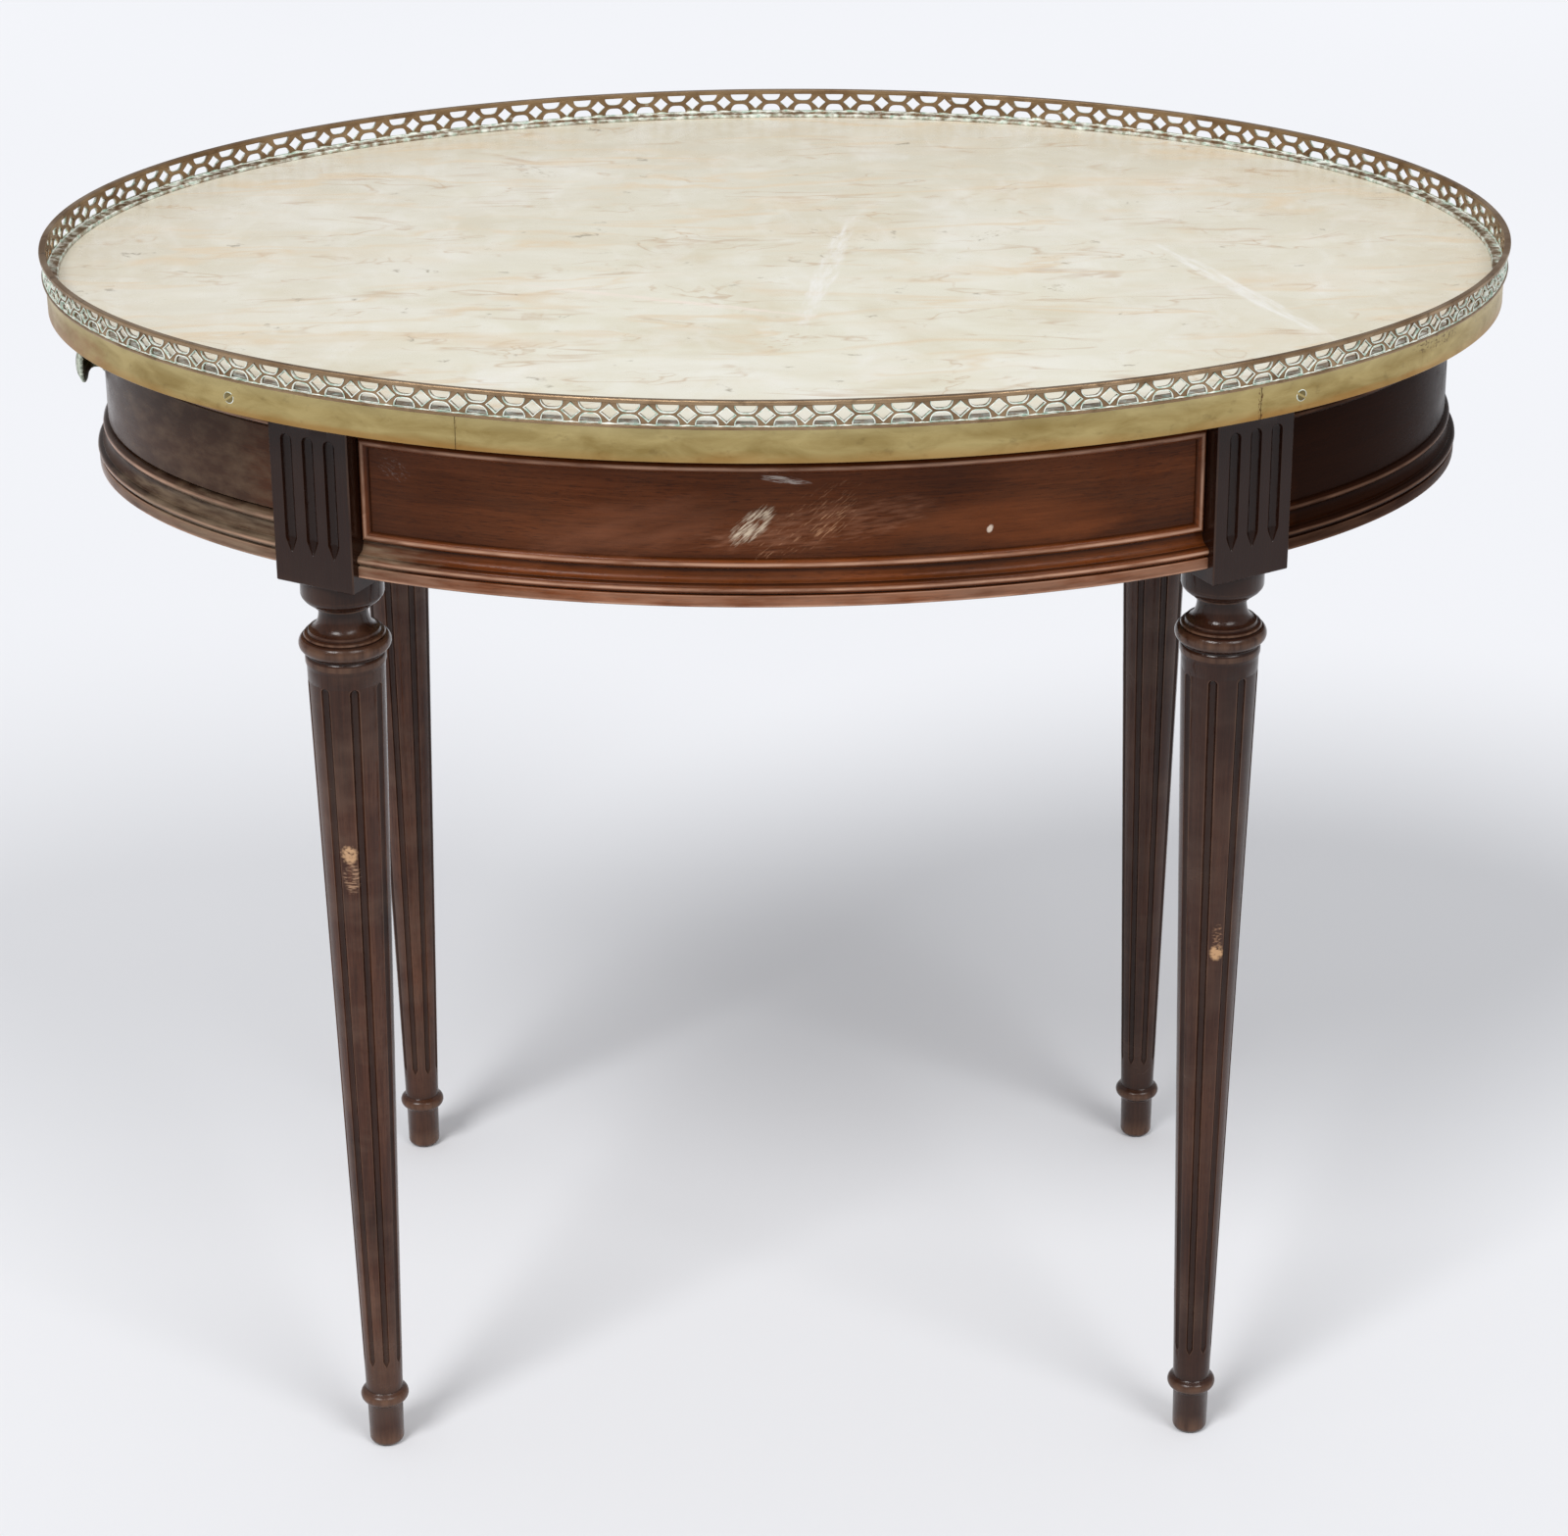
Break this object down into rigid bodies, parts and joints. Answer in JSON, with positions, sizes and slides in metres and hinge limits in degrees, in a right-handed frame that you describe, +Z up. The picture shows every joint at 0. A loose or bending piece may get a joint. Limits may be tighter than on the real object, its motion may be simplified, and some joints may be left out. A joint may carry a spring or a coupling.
{
  "type": "oval salon table",
  "caption": "Oval salon table with a marble top inside a pierced brass gallery, a moulded frieze with an end drawer, and tapered fluted legs.",
  "frame": {"origin": "on the floor under the middle of the oval top", "axes": "+Z up, +X along the length of the oval away from the drawer, the front long side faces -Y"},
  "size_m": [0.9134, 0.6398, 0.76],
  "materials": {
    "gallery_brass": "aged cast brass with verdigris",
    "band_brass": "dull rolled brass strip",
    "knob_brass": "turned brass, tarnished",
    "marble": "polished cream marble, worn",
    "leg_wood": "dark polished mahogany, dusty",
    "frieze_wood": "polished mahogany, worn and scuffed",
    "carcase_wood": "plain unpolished oak"
  },
  "bodies": {
    "table": {"marble_bed": "carcase_wood", "marble_top": "marble", "brass_band": "band_brass", "gallery_strip_01": "gallery_brass", "gallery_strip_02": "gallery_brass", "gallery_strip_03": "gallery_brass", "gallery_strip_04": "gallery_brass", "gallery_strip_05": "gallery_brass", "gallery_strip_06": "gallery_brass", "gallery_strip_07": "gallery_brass", "gallery_strip_08": "gallery_brass", "gallery_strip_09": "gallery_brass", "gallery_strip_10": "gallery_brass", "gallery_strip_11": "gallery_brass", "gallery_strip_12": "gallery_brass", "gallery_strip_13": "gallery_brass", "gallery_strip_14": "gallery_brass", "gallery_strip_15": "gallery_brass", "gallery_strip_16": "gallery_brass", "apron_front": "frieze_wood", "apron_back": "frieze_wood", "apron_right": "frieze_wood", "drawer_rail_lower": "frieze_wood", "drawer_rail_upper": "frieze_wood", "side_bead_front_left": "frieze_wood", "side_bead_front_right": "frieze_wood", "side_bead_back_left": "frieze_wood", "side_bead_back_right": "frieze_wood", "side_bead_right_front": "frieze_wood", "side_bead_right_back": "frieze_wood", "leg_front_left": "leg_wood", "leg_front_right": "leg_wood", "leg_back_left": "leg_wood", "leg_back_right": "leg_wood", "drawer_runner_front": "carcase_wood", "drawer_runner_back": "carcase_wood", "cross_rail": "carcase_wood"},
    "drawer": {"drawer_front": "frieze_wood", "drawer_bead_front": "frieze_wood", "drawer_bead_back": "frieze_wood", "drawer_side_front": "carcase_wood", "drawer_side_back": "carcase_wood", "drawer_bottom": "carcase_wood", "drawer_back": "carcase_wood", "drawer_knob": "knob_brass"}
  },
  "joints": [
    {"name": "drawer_slide", "type": "slide", "parent": "table", "child": "drawer", "axis": [-1, 0, 0], "range_m": [0, 0.2]}
  ]
}
